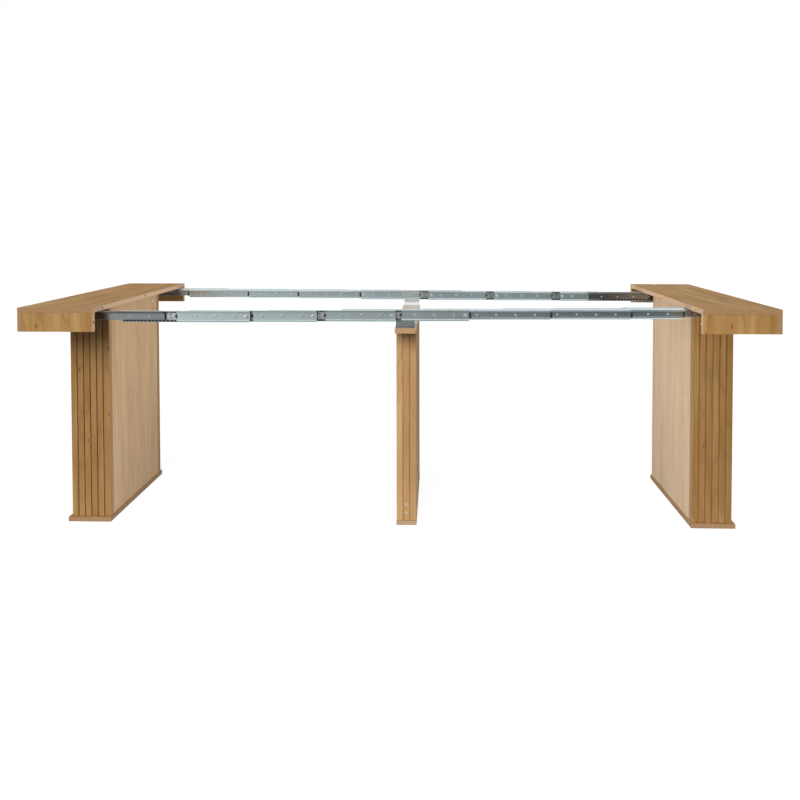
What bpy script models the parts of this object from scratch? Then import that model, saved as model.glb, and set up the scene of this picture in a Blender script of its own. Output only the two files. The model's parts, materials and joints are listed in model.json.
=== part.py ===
"""Extendable console table, drawn out to its full length with no leaves laid in.

Two half tops stand on fluted slab legs. Two nine-member ball-bearing slides join them,
and a narrow centre leg hangs from the middle members. Metres, +X along the extension,
+Y to the rear, +Z up, origin on the floor under the middle of the table.
"""

import math

import bmesh
import bpy
from mathutils import Matrix, Vector

# Overall sizes
OPEN_LENGTH = 2.448
TABLE_DEPTH = 0.900
TABLE_HEIGHT = 0.780
TOP_WIDTH = 0.248
CENTRE_SHIFT = 0.031

# Boards and how they seat
BOARD = 0.016
APRON_HEIGHT = 0.062
SEAT = 0.0003

# Fluted panels
SLAT_PITCH = 0.023
PANEL = 0.022
GROOVE_WIDTH = 0.0035
GROOVE_DEPTH = 0.005
SLAT_EASE = 0.001
LEG_SLATS = 6
CENTRE_SLATS = 3

# Slab legs and centre leg
FOOT_THICKNESS = 0.016
FOOT_OVERHANG = 0.010
FOOT_INNER_LIP = 0.003
INNER_BOARD_RECESS = 0.001
CLOSED_CLEARANCE = 0.0005
LEG_SLIDE_CLEARANCE = 0.0122
CENTRE_LEG_PROUD = 0.008
CENTRE_FOOT_LIP = 0.0005
CENTRE_FOOT_NOSE = 0.002
PLATE_THICKNESS = 0.018
PLATE_NOSE = 0.002
BRACKET_WIDTH = 0.062
BRACKET_SHEET = 0.0025

# Alignment pin sockets in the inner edges
PIN_DIAMETER = 0.008
PIN_CLEARANCE = 0.0004
SOCKET_DEPTH = 0.016
PIN_END_DISTANCE = 0.075

# Slide sections
MEMBER_LENGTH = 0.426
CHANNEL_HEIGHT = 0.0375
CHANNEL_DEPTH = 0.0126
SHEET = 0.0015
LIP = 0.0042
SHOULDER = 0.0018
WEB_BEND = 0.005
RUNNING_CLEARANCE = 0.0005
RAIL_DROP = 0.001
RAIL_SETBACK = 0.046
ANGLE_FLANGE = 0.018
ANGLE_SETBACK = 0.008
HOLE_DIAMETER = 0.006
HOLE_PITCH = 0.065
HOLE_END_DISTANCE = 0.040
STOP_DIAMETER = 0.010
STOP_HEIGHT = 0.004
STOP_INSET = 0.012

# Ball cages
CAGE_LENGTH = 0.215
CAGE_SHEET = 0.0008
CAGE_CLEARANCE = 0.0004
CAGE_TIP_CLEARANCE = 0.002
BALL_DIAMETER = 0.0054
BALL_CLEARANCE = 0.00055
BALL_PITCH = 0.072
BALLS_PER_ROW = 3

# How far each stage is drawn, from the centre outwards; the last stage takes the rest
LEFT_DRAWS = {"front": (0.244, 0.262, 0.220), "rear": (0.266, 0.218, 0.264)}
RIGHT_DRAWS = {"front": (0.272, 0.271, 0.178), "rear": (0.284, 0.272, 0.270)}

# Facets of round pieces
HOLE_SIDES = 6
SOCKET_SIDES = 16
STOP_SIDES = 8
BEND_STEPS = 2

# Levels and spans worked out from the sizes above
TOP_UNDERSIDE = TABLE_HEIGHT - BOARD
APRON_BOTTOM = TOP_UNDERSIDE - APRON_HEIGHT
INNER_EDGE = OPEN_LENGTH / 2 - TOP_WIDTH
APRON_INSIDE = TABLE_DEPTH / 2 - BOARD
RAIL_TOP = TOP_UNDERSIDE - RAIL_DROP
RAIL_MIDDLE = RAIL_TOP - CHANNEL_HEIGHT / 2
RAIL_BOTTOM = RAIL_TOP - CHANNEL_HEIGHT
LEG_WIDTH = LEG_SLATS * SLAT_PITCH
CENTRE_WIDTH = CENTRE_SLATS * SLAT_PITCH
CENTRE_FOOT_WIDTH = CENTRE_WIDTH + 2 * CENTRE_FOOT_LIP
LEG_INSET = CENTRE_FOOT_WIDTH / 2 + CLOSED_CLEARANCE + FOOT_INNER_LIP
PLATE_TOP = APRON_BOTTOM
PLATE_BOTTOM = PLATE_TOP - PLATE_THICKNESS

# Depths of the slide stack, measured inwards from the first member's web
SIDE_STAGES = len(LEFT_DRAWS["front"])
STANDOFF = SHEET + RUNNING_CLEARANCE
STACK_PITCH = CHANNEL_DEPTH + STANDOFF
MIDDLE_FACE = STANDOFF + SIDE_STAGES * STACK_PITCH
MIDDLE_BACK = MIDDLE_FACE + 2 * CHANNEL_DEPTH
STACK_DEPTH = MIDDLE_BACK + SIDE_STAGES * STACK_PITCH + STANDOFF
STACK_START = APRON_INSIDE - RAIL_SETBACK
INNER_TIP_GAP = CAGE_SHEET + 2 * CAGE_CLEARANCE
FLANGE = CHANNEL_DEPTH + STANDOFF - SHEET - INNER_TIP_GAP
BALL_SPACE = BALL_DIAMETER + 2 * BALL_CLEARANCE
INNER_HEIGHT = CHANNEL_HEIGHT - 2 * SHEET - 2 * BALL_SPACE

# The slab legs are as deep as whole slats fill between the two slides
LEG_SPACE = 2 * (STACK_START - STACK_DEPTH - ANGLE_FLANGE - LEG_SLIDE_CLEARANCE)
SIDE_SLATS = int((LEG_SPACE - 2 * PANEL) / SLAT_PITCH)
LEG_DEPTH = SIDE_SLATS * SLAT_PITCH + 2 * PANEL
CENTRE_LEG_DEPTH = LEG_DEPTH + 2 * CENTRE_LEG_PROUD

FACE_ON = 0.0
HALF_TURN = math.pi
QUARTER_TURN = math.pi / 2


def clear_scene():
    for old in list(bpy.data.objects):
        bpy.data.objects.remove(old, do_unlink=True)


def finish_material(name, colour, roughness, metallic=0.0):
    material = bpy.data.materials.new(name)
    material.use_nodes = True
    shader = material.node_tree.nodes["Principled BSDF"]
    shader.inputs["Base Color"].default_value = (*colour, 1.0)
    shader.inputs["Roughness"].default_value = roughness
    shader.inputs["Metallic"].default_value = metallic
    return material


def empty(name, location):
    anchor = bpy.data.objects.new(name, None)
    anchor.location = location
    bpy.context.scene.collection.objects.link(anchor)
    return anchor


def place(name, mesh, location, material, parent=None, rotation=(0.0, 0.0, 0.0)):
    """Link one named piece and give its mesh a finish."""
    piece = bpy.data.objects.new(name, mesh)
    if not mesh.materials:
        mesh.materials.append(material)
    piece.location = location
    piece.rotation_euler = rotation
    piece.parent = parent
    bpy.context.scene.collection.objects.link(piece)
    return piece


def mesh_from(form, name):
    bmesh.ops.recalc_face_normals(form, faces=form.faces)
    mesh = bpy.data.meshes.new(name)
    form.to_mesh(mesh)
    form.free()
    return mesh


def board_mesh(name, along_x, along_y, along_z):
    form = bmesh.new()
    bmesh.ops.create_cube(form, size=1.0)
    bmesh.ops.scale(form, vec=(along_x, along_y, along_z), verts=form.verts)
    return mesh_from(form, name)


def extruded(outline, run):
    """A prism: a flat outline of 3-D points swept along the vector run."""
    form = bmesh.new()
    base = form.faces.new([form.verts.new(point) for point in outline])
    swept = bmesh.ops.extrude_face_region(form, geom=[base])
    moved = [item for item in swept["geom"] if isinstance(item, bmesh.types.BMVert)]
    bmesh.ops.translate(form, vec=run, verts=moved)
    return form


def along_x(profile, length):
    """A section given as (y, z) points, swept along X and centred."""
    outline = [(-length / 2, y, z) for y, z in profile]
    return extruded(outline, Vector((length, 0.0, 0.0)))


def up_z(plan, height):
    """A plan given as (x, y) points, swept up Z and centred."""
    outline = [(x, y, -height / 2) for x, y in plan]
    return extruded(outline, Vector((0.0, 0.0, height)))


def symmetric(half):
    """Close a half section with its own mirror image below z = 0."""
    return half + [(y, -z) for y, z in reversed(half)]


def arc(centre, radius, start, end):
    """Points of a bend in (y, z), from one angle to another."""
    step = (end - start) / BEND_STEPS
    angles = [start + n * step for n in range(BEND_STEPS + 1)]
    return [(centre[0] + radius * math.cos(a), centre[1] + radius * math.sin(a)) for a in angles]


def rods(name, centres, axis, diameter, length, sides):
    """Several short rods in one mesh, used to cut holes or to add studs."""
    form = bmesh.new()
    turn = Vector((0.0, 0.0, 1.0)).rotation_difference(Vector(axis)).to_matrix().to_4x4()
    for centre in centres:
        bmesh.ops.create_cone(
            form,
            cap_ends=True,
            segments=sides,
            radius1=diameter / 2,
            radius2=diameter / 2,
            depth=length,
            matrix=Matrix.Translation(centre) @ turn,
        )
    return mesh_from(form, name)


def combined(mesh, tool_mesh, operation):
    """The mesh after one Boolean step with the tool mesh."""
    host = bpy.data.objects.new("host", mesh)
    tool = bpy.data.objects.new("tool", tool_mesh)
    for item in (host, tool):
        bpy.context.scene.collection.objects.link(item)
    step = host.modifiers.new("step", "BOOLEAN")
    step.operation = operation
    step.object = tool
    bpy.context.view_layer.update()
    state = bpy.context.evaluated_depsgraph_get()
    result = bpy.data.meshes.new_from_object(host.evaluated_get(state))
    for item in (host, tool):
        bpy.data.objects.remove(item, do_unlink=True)
    result.name = mesh.name + "_cut"
    return result


def fluted_plan(slats, open_ends=False):
    """Plan of a fluted panel: slats face -Y, and open_ends leaves a half groove at each end."""
    width = slats * SLAT_PITCH - 2 * SEAT * open_ends
    face = -PANEL / 2
    floor = face + GROOVE_DEPTH
    half = GROOVE_WIDTH / 2
    left_start = -width / 2
    if open_ends:
        plan = [(left_start, PANEL / 2), (left_start, floor), (left_start + half, floor)]
        left_start += half
    else:
        plan = [(left_start, PANEL / 2)]
    plan += [(left_start, face + SLAT_EASE), (left_start + SLAT_EASE, face)]
    for groove in range(1, slats):
        middle = -slats * SLAT_PITCH / 2 + groove * SLAT_PITCH
        plan += [(middle - half - SLAT_EASE, face), (middle - half, face + SLAT_EASE)]
        plan += [(middle - half, floor), (middle + half, floor)]
        plan += [(middle + half, face + SLAT_EASE), (middle + half + SLAT_EASE, face)]
    right_end = -left_start
    plan += [(right_end - SLAT_EASE, face), (right_end, face + SLAT_EASE)]
    if open_ends:
        plan += [(right_end, floor), (width / 2, floor)]
    plan += [(width / 2, PANEL / 2)]
    return plan


def fluted_mesh(name, slats, height, open_ends=False):
    return mesh_from(up_z(fluted_plan(slats, open_ends), height), name)


def socketed_board(name, size, sockets):
    """A board with blind pin sockets bored into its +X edge."""
    mesh = board_mesh(name, *size)
    centres = [(size[0] / 2, y, z) for y, z in sockets]
    bore = rods("bore", centres, (1, 0, 0), PIN_DIAMETER + PIN_CLEARANCE, 2 * SOCKET_DEPTH, SOCKET_SIDES)
    return combined(mesh, bore, "DIFFERENCE")


def build_end(side, finishes):
    """One half top on its slab leg; side is -1 for the left end and 1 for the right."""
    label = "left" if side < 0 else "right"
    inward = FACE_ON if side < 0 else HALF_TURN
    body = empty(label + "_end_body", (side * INNER_EDGE, 0.0, 0.0))
    top_middle = TABLE_HEIGHT - BOARD / 2
    top_size = (TOP_WIDTH, TABLE_DEPTH, BOARD)
    pin_spread = TABLE_DEPTH / 2 - PIN_END_DISTANCE
    pin_places = [(-pin_spread, 0.0), (0.0, 0.0), (pin_spread, 0.0)]

    def put(name, mesh, place_at, finish, turn=0.0):
        spot = (side * place_at[0], place_at[1], place_at[2])
        place(label + "_" + name, mesh, spot, finishes[finish], body, (0.0, 0.0, turn))

    top_mesh = socketed_board(label + "_top", top_size, pin_places)
    put("top_panel", top_mesh, (TOP_WIDTH / 2, 0.0, top_middle), "oak", inward)

    apron_tall = APRON_HEIGHT - SEAT
    apron_middle = APRON_BOTTOM + apron_tall / 2
    apron_long = TOP_WIDTH - BOARD - SEAT
    apron_face = TABLE_DEPTH / 2 - BOARD / 2
    for row, way in (("front", -1), ("rear", 1)):
        apron_mesh = socketed_board(label + "_apron", (apron_long, BOARD, apron_tall), [(0.0, 0.0)])
        spot = (apron_long / 2, way * apron_face, apron_middle)
        put(row + "_apron", apron_mesh, spot, "oak", inward)
    end_mesh = board_mesh(label + "_end", BOARD, TABLE_DEPTH, apron_tall)
    put("end_apron", end_mesh, (TOP_WIDTH - BOARD / 2, 0.0, apron_middle), "oak")

    leg_low = FOOT_THICKNESS + SEAT
    leg_tall = TOP_UNDERSIDE - SEAT - leg_low
    leg_middle = leg_low + leg_tall / 2
    leg_centre = LEG_INSET + LEG_WIDTH / 2
    panel_place = LEG_DEPTH / 2 - PANEL / 2
    for row, way, turn in (("front", -1, FACE_ON), ("rear", 1, HALF_TURN)):
        panel_mesh = fluted_mesh(label + "_panel", LEG_SLATS, leg_tall)
        spot = (leg_centre, way * panel_place, leg_middle)
        put("leg_" + row + "_panel", panel_mesh, spot, "oak_slats", turn)

    outer_mesh = fluted_mesh(label + "_outer", SIDE_SLATS, leg_tall, open_ends=True)
    outer_place = (LEG_INSET + LEG_WIDTH - PANEL / 2, 0.0, leg_middle)
    put("leg_outer_board", outer_mesh, outer_place, "oak_slats", side * QUARTER_TURN)

    between = LEG_DEPTH - 2 * PANEL - 2 * SEAT
    inner_mesh = board_mesh(label + "_inner", BOARD, between, leg_tall)
    inner_place = (LEG_INSET + INNER_BOARD_RECESS + BOARD / 2, 0.0, leg_middle)
    put("leg_inner_board", inner_mesh, inner_place, "pale_board")

    foot_long = LEG_WIDTH + FOOT_OVERHANG + FOOT_INNER_LIP
    foot_mesh = board_mesh(label + "_foot", foot_long, LEG_DEPTH + 2 * FOOT_OVERHANG, FOOT_THICKNESS)
    foot_place = (LEG_INSET - FOOT_INNER_LIP + foot_long / 2, 0.0, FOOT_THICKNESS / 2)
    put("leg_foot", foot_mesh, foot_place, "oak")
    return body


def build_centre(finishes):
    """The centre leg, the plate across its head and the two brackets up to the slides."""
    body = empty("centre_body", (CENTRE_SHIFT, 0.0, 0.0))
    leg_low = FOOT_THICKNESS + SEAT
    leg_tall = PLATE_BOTTOM - SEAT - leg_low
    leg_middle = leg_low + leg_tall / 2
    panel_place = CENTRE_LEG_DEPTH / 2 - PANEL / 2
    for row, way, turn in (("front", -1, FACE_ON), ("rear", 1, HALF_TURN)):
        panel_mesh = fluted_mesh("centre_panel", CENTRE_SLATS, leg_tall)
        spot = (0.0, way * panel_place, leg_middle)
        place("centre_leg_" + row + "_panel", panel_mesh, spot, finishes["oak_slats"], body, (0.0, 0.0, turn))

    between = CENTRE_LEG_DEPTH - 2 * PANEL - 2 * SEAT
    for label, way in (("left", -1), ("right", 1)):
        side_mesh = board_mesh("centre_side", BOARD, between, leg_tall)
        spot = (way * (CENTRE_WIDTH / 2 - BOARD / 2), 0.0, leg_middle)
        place("centre_leg_" + label + "_board", side_mesh, spot, finishes["oak_slats"], body)

    foot_deep = CENTRE_LEG_DEPTH + 2 * CENTRE_FOOT_NOSE
    foot_mesh = board_mesh("centre_foot", CENTRE_FOOT_WIDTH, foot_deep, FOOT_THICKNESS)
    place("centre_leg_foot", foot_mesh, (0.0, 0.0, FOOT_THICKNESS / 2), finishes["oak"], body)

    plate_deep = 2 * (STACK_START - MIDDLE_FACE + PLATE_NOSE)
    plate_mesh = board_mesh("centre_plate", CENTRE_FOOT_WIDTH, plate_deep, PLATE_THICKNESS)
    plate_middle = PLATE_TOP - PLATE_THICKNESS / 2
    place("centre_top_plate", plate_mesh, (0.0, 0.0, plate_middle), finishes["pale_board"], body)

    tall = RAIL_BOTTOM - PLATE_TOP - 2 * SEAT
    deep = MIDDLE_BACK - MIDDLE_FACE
    half = tall / 2
    inside = half - BRACKET_SHEET
    section = symmetric([(BRACKET_SHEET, inside), (deep, inside), (deep, half), (0.0, half)])
    level = PLATE_TOP + SEAT + half
    for row, way, turn in (("front", -1, FACE_ON), ("rear", 1, HALF_TURN)):
        bracket_mesh = mesh_from(along_x(section, BRACKET_WIDTH), "bracket")
        spot = (0.0, way * (STACK_START - MIDDLE_FACE), level)
        place("centre_" + row + "_bracket", bracket_mesh, spot, finishes["zinc"], body, (0.0, 0.0, turn))
    return body


def channel_half():
    """Upper half of a channel open to -Y, from the inside of its web round to its back."""
    high = CHANNEL_HEIGHT / 2
    bend = (CHANNEL_DEPTH - WEB_BEND, high - WEB_BEND)
    half = arc(bend, WEB_BEND - SHEET, FACE_ON, QUARTER_TURN)
    half += [(SHEET, high - SHEET), (SHEET, high - LIP), (0.0, high - LIP)]
    half += [(0.0, high - SHOULDER), (SHOULDER, high)]
    half += arc(bend, WEB_BEND, QUARTER_TURN, FACE_ON)
    return half


def web_holes(form_mesh, web_from, web_to):
    """Bore the row of screw and rivet holes through a web that spans two depths."""
    spaces = int((MEMBER_LENGTH - 2 * HOLE_END_DISTANCE) / HOLE_PITCH)
    first = -spaces * HOLE_PITCH / 2
    middle = (web_from + web_to) / 2
    centres = [(first + n * HOLE_PITCH, middle, 0.0) for n in range(spaces + 1)]
    through = 2 * (web_to - web_from)
    drill = rods("drill", centres, (0, 1, 0), HOLE_DIAMETER, through, HOLE_SIDES)
    return combined(form_mesh, drill, "DIFFERENCE")


def stop_stud(form_mesh, web_face, end, way=-1):
    """Add the round end stop on a channel's web, near one end and standing out along way."""
    length = STOP_HEIGHT + SHEET / 2
    rise = length / 2 - SHEET / 2
    centre = (end * (MEMBER_LENGTH / 2 - STOP_INSET), web_face + way * rise, 0.0)
    stud = rods("stud", [centre], (0, 1, 0), STOP_DIAMETER, length, STOP_SIDES)
    return combined(form_mesh, stud, "UNION")


def running_member():
    """A channel open to -Y with the next stage's inner section riveted to its back."""
    inner = INNER_HEIGHT / 2
    back = CHANNEL_DEPTH
    half = channel_half()
    half += [(back, inner), (back + FLANGE, inner)]
    half += [(back + FLANGE, inner - SHEET), (back + SHEET, inner - SHEET)]
    mesh = mesh_from(along_x(symmetric(half), MEMBER_LENGTH), "running_member")
    mesh = web_holes(mesh, CHANNEL_DEPTH - SHEET, CHANNEL_DEPTH + SHEET)
    return stop_stud(mesh, CHANNEL_DEPTH - SHEET, 1)


def middle_member():
    """Two channels back to back; y = 0 is the face where their webs are joined."""
    front = [(y - CHANNEL_DEPTH, z) for y, z in channel_half()]
    rear = [(-y, z) for y, z in reversed(front[:-1])]
    mesh = mesh_from(along_x(symmetric(front + rear), MEMBER_LENGTH), "middle_member")
    mesh = web_holes(mesh, -SHEET, SHEET)
    mesh = stop_stud(mesh, -SHEET, 1)
    return stop_stud(mesh, SHEET, -1, way=1)


def face_nearest(form, point, normal):
    """The face whose middle lies nearest a point, among those that look along a normal."""
    within = math.cos(QUARTER_TURN / 2)
    looking = [face for face in form.faces if face.normal.dot(Vector(normal)) > within]
    return min(looking, key=lambda face: (face.calc_center_median() - Vector(point)).length)


def pulled(form, face, run):
    """Draw one face out along a vector and return the face at the far end."""
    drawn = bmesh.ops.extrude_discrete_faces(form, faces=[face])["faces"][0]
    bmesh.ops.translate(form, vec=run, verts=drawn.verts)
    drawn.normal_update()
    return drawn


def end_member():
    """An inner section with a mounting angle bent up from its web over its outer (-X) half.

    y = 0 is the face of the channel that it runs in.
    """
    inner = INNER_HEIGHT / 2
    web = -STANDOFF
    tip = FLANGE - STANDOFF
    top = TOP_UNDERSIDE - SEAT - RAIL_MIDDLE
    half = [(web + SHEET, inner - SHEET), (tip, inner - SHEET), (tip, inner)]
    half += [(web + SHEET, inner), (web, inner)]
    form = along_x(symmetric(half), MEMBER_LENGTH)
    everything = list(form.verts) + list(form.edges) + list(form.faces)
    bmesh.ops.bisect_plane(form, geom=everything, plane_co=(-ANGLE_SETBACK, 0, 0), plane_no=(1, 0, 0))
    bmesh.ops.recalc_face_normals(form, faces=form.faces)
    outer_middle = -(MEMBER_LENGTH / 2 + ANGLE_SETBACK) / 2
    edge = face_nearest(form, (outer_middle, web + SHEET / 2, inner), (0, 0, 1))
    rise = pulled(form, edge, Vector((0.0, 0.0, top - SHEET - inner)))
    pulled(form, rise, Vector((0.0, 0.0, SHEET)))
    bmesh.ops.recalc_face_normals(form, faces=form.faces)
    corner = face_nearest(form, (outer_middle, web, top - SHEET / 2), (0, -1, 0))
    pulled(form, corner, Vector((0.0, -ANGLE_FLANGE, 0.0)))
    mesh = mesh_from(form, "end_member")
    return web_holes(mesh, web, web + SHEET)


def ball_cage():
    """A sheet cage with two rows of balls; y = 0 is the face of the channel that holds it."""
    race = INNER_HEIGHT / 2 + BALL_SPACE / 2
    arm = CAGE_SHEET / 2
    web_back = CHANNEL_DEPTH - SHEET - CAGE_CLEARANCE
    web_front = web_back - CAGE_SHEET
    tip = SHEET + CAGE_TIP_CLEARANCE
    half = [(web_front, race - arm), (tip, race - arm), (tip, race + arm), (web_back, race + arm)]
    mesh = mesh_from(along_x(symmetric(half), CAGE_LENGTH), "ball_cage")
    form = bmesh.new()
    first = -(BALLS_PER_ROW - 1) * BALL_PITCH / 2
    for row in (-race, race):
        for n in range(BALLS_PER_ROW):
            spot = Matrix.Translation((first + n * BALL_PITCH, CHANNEL_DEPTH / 2, row))
            bmesh.ops.create_icosphere(form, subdivisions=1, radius=BALL_DIAMETER / 2, matrix=spot)
    return combined(mesh, mesh_from(form, "balls"), "UNION")


def member_centres(row):
    """X of the nine members of one slide, from the left end to the right end."""
    left = [CENTRE_SHIFT]
    for draw in LEFT_DRAWS[row]:
        left.append(left[-1] - draw)
    right = [CENTRE_SHIFT]
    for draw in RIGHT_DRAWS[row]:
        right.append(right[-1] + draw)
    return [-INNER_EDGE] + left[::-1] + right[1:] + [INNER_EDGE]


def build_slide(row, meshes, finishes):
    """One slide; the rear one is the front one turned over about its own length."""
    way = -1 if row == "front" else 1
    over = FACE_ON if row == "front" else HALF_TURN
    centres = member_centres(row)

    def depth(stack):
        return way * (STACK_START - stack)

    def put(name, mesh, x, stack, finish, rotation):
        place(row + "_" + name, mesh, (x, depth(stack), RAIL_MIDDLE), finishes[finish], None, rotation)

    faces = [STANDOFF + n * STACK_PITCH for n in range(SIDE_STAGES)]
    far_faces = [MIDDLE_BACK + (n + 1) * STACK_PITCH for n in range(SIDE_STAGES)]
    middle = SIDE_STAGES + 1
    left_facing = (over, 0.0, 0.0)
    right_facing = (over, 0.0, HALF_TURN)

    end_turn = (0.0, 0.0, over)
    far_turn = (0.0, 0.0, HALF_TURN - over)
    put("slide_member_1", meshes["end"][row], centres[0], faces[0], "zinc", end_turn)
    for n, face in enumerate(faces, start=1):
        put(f"slide_member_{n + 1}", meshes["running"], centres[n], face, "zinc", left_facing)
    middle_stack = MIDDLE_FACE + CHANNEL_DEPTH
    put(f"slide_member_{middle + 1}", meshes["middle"], centres[middle], middle_stack, "zinc", left_facing)
    for n, face in enumerate(far_faces, start=middle + 1):
        put(f"slide_member_{n + 1}", meshes["running"], centres[n], face, "zinc", right_facing)
    put(f"slide_member_{len(centres)}", meshes["end"][row], centres[-1], far_faces[-1], "zinc", far_turn)

    cage_faces = faces + [MIDDLE_FACE, MIDDLE_BACK] + far_faces
    for n, face in enumerate(cage_faces):
        between = (centres[n] + centres[n + 1]) / 2
        turn = left_facing if n < middle else right_facing
        put(f"ball_cage_{n + 1}", meshes["cage"], between, face, "cage_steel", turn)


def mirrored_in_x(mesh):
    """A copy of a mesh with its two ends swapped."""
    form = bmesh.new()
    form.from_mesh(mesh)
    bmesh.ops.scale(form, vec=(-1.0, 1.0, 1.0), verts=form.verts)
    bmesh.ops.reverse_faces(form, faces=form.faces)
    return mesh_from(form, mesh.name + "_mirrored")


def main():
    clear_scene()
    finishes = {
        "oak": finish_material("oak", (0.42, 0.25, 0.10), 0.5),
        "oak_slats": finish_material("oak_slats", (0.39, 0.22, 0.085), 0.5),
        "pale_board": finish_material("pale_board", (0.52, 0.36, 0.22), 0.55),
        "zinc": finish_material("zinc", (0.52, 0.56, 0.58), 0.32, 1.0),
        "cage_steel": finish_material("cage_steel", (0.42, 0.44, 0.45), 0.4, 1.0),
    }
    build_end(-1, finishes)
    build_end(1, finishes)
    build_centre(finishes)
    plain_end = end_member()
    turned_end = mirrored_in_x(plain_end)
    meshes = {
        "running": running_member(),
        "middle": middle_member(),
        "cage": ball_cage(),
        "end": {"front": plain_end, "rear": turned_end},
    }
    for row in ("front", "rear"):
        build_slide(row, meshes, finishes)


main()
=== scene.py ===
"""Looks of the extendable console table: finishes, slides, fasteners, light and camera.

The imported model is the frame. Its boards, brackets and fixed slide members keep their shapes and
get their finishes here. The other slide members and the ball cages are drawn again as rolled sheet
with rivets, stops and full rows of balls.
"""

import json
import math

import bmesh
import bpy
from mathutils import Matrix, Vector

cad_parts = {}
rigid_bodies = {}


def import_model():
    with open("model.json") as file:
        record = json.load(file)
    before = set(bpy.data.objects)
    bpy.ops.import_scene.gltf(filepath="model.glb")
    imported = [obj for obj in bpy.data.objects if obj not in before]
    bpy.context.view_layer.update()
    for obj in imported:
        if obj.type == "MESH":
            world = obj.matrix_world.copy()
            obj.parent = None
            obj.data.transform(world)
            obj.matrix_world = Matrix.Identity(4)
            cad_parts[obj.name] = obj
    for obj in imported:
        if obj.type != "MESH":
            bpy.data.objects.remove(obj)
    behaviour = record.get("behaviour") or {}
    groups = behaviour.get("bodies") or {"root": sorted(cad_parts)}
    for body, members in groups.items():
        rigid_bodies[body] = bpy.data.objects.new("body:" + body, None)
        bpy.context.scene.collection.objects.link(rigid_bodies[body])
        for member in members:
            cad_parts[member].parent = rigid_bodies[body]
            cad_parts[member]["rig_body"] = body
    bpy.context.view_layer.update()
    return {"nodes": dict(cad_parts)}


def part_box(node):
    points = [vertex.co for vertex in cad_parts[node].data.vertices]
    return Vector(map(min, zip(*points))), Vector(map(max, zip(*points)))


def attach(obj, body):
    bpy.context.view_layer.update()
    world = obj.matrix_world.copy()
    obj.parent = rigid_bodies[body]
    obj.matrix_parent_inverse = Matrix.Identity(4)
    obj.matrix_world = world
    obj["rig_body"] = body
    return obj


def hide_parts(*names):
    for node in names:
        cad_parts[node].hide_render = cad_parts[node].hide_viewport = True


# Slides: counts and metres
MEMBERS = 9
MIDDLE_MEMBER = 5
SHEET = 0.0015
LIP = 0.002
WEB_BEND = 0.0055
LIP_BEND = 0.0009
INNER_BEND = 0.0018
JOINT_GAP = 0.00005
BEND_STEPS = 6
RIVET_PITCH = 0.065
RIVETS = 6
RIVET_RADIUS = 0.0034
RIVET_DOME = 0.0019
TAIL_RADIUS = 0.0044
TAIL_HEIGHT = 0.0009
TAIL_SUNK = 0.0003
STOP_RADIUS = 0.0062
STOP_HEIGHT = 0.004
STOP_INSET = 0.012
# Black buffers at the members' ends: partly real bumpers, partly painted shade at the joints
SHADE_BUFFER_LENGTH = 0.007
SHADE_BUFFER_CHAMFER = 0.0015

# Trim of the fixed slide members: metres, and shares of a common rivet and of the angle's length
ANGLE_FLANGE = 0.018
ANGLE_SETBACK = 0.008
ANGLE_SCREWS = (0.15, 0.5, 0.85)
END_RIVET_SHARE = 0.75
STRIP_RISE = 0.005
STRIP_LEDGE = 0.0085
STRIP_CLEARANCE = 0.0004
STRIP_BEND = 0.001
STRIP_END_GAP = 0.004

# Ball cages: metres, counts and how much a window narrows
CAGE_SHEET = 0.0008
DISH_DEPTH = 0.0007
DISH_HALF = 0.0072
DISH_BEND = 0.0005
BALL_RADIUS = 0.0027
BALL_PITCH = 0.0125
BALLS_PER_ROW = 14
BALL_FINENESS = 2
RETAINER_HALF = 0.0019
RETAINER_PROUD = 0.0022
RETAINER_CHAMFER = 0.0018
TONGUE_HALF = 0.0095
TONGUE_LENGTH = 0.034
TONGUE_SLOT = 0.002
NOTCH_DEPTH = 0.007
NOTCH_WIDTH = 0.01
WINDOW_START = 0.013
WINDOW_LENGTH = 0.01
WINDOW_TAPER = 5
CAGE_DRAWN_IN = 0.0375
CAGE_OPEN_LENGTH = 0.0475
# A thin black sheet behind each cage's fishtail: painted shade in its windows
SHADE_SHEET_LENGTH = 0.038
SHADE_SHEET_OVERHANG = 0.003
SHADE_SHEET_THICKNESS = 0.00005
SHADE_SHEET_GAP = 0.00002

# Fasteners: metres, and shares of the bracket's height for the ribs
PIN_RADIUS = 0.004
PIN_PROUD = 0.011
DOWEL_PROUD = 0.005
PIN_NOSE = 0.0032
PIN_BURIED = 0.012
PIN_END_DISTANCE = 0.075
CAP_RADIUS = 0.0056
CAP_PROUD = 0.0016
CAP_HEIGHTS = (0.071, 0.042)
SCREW_RADIUS = 0.0036
SCREW_PROUD = 0.0014
LEG_SCREW_DEPTH = 0.175
LEG_SCREW_DROPS = (0.021, 0.032)
RIB_RADIUS = 0.0012
RIB_LENGTH = 0.052
RIB_DROPS = (0.24, 0.53)

# Round shapes: counts, and the rim's share of a dome's height
ROUND_SIDES = 24
DOME_STEPS = 4
DOME_RIM = 0.3

# Boards: metres, counts and radians
EDGE_SOFTENING = 0.0007
EDGE_STEPS = 2
EDGE_ANGLE = math.radians(50)
SLAT_PITCH = 0.023
PANEL_BAND = 0.0009
WELD_DISTANCE = 0.00002
SHARP_ANGLE = math.radians(32)

# Camera fitted to the photograph: its pixels, metres, radians, and millimetres for the sensor
FRAME_PIXELS = 800
FOCAL_PIXELS = 759.2
OPTICAL_CENTRE = (413.3, 237.5)
CAMERA_PLACE = (0.1357, -2.8629, 1.0754)
CAMERA_YAW = 0.0306
CAMERA_PITCH = 0.0281
CAMERA_ROLL = 0.0011
SENSOR = 36.0

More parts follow.
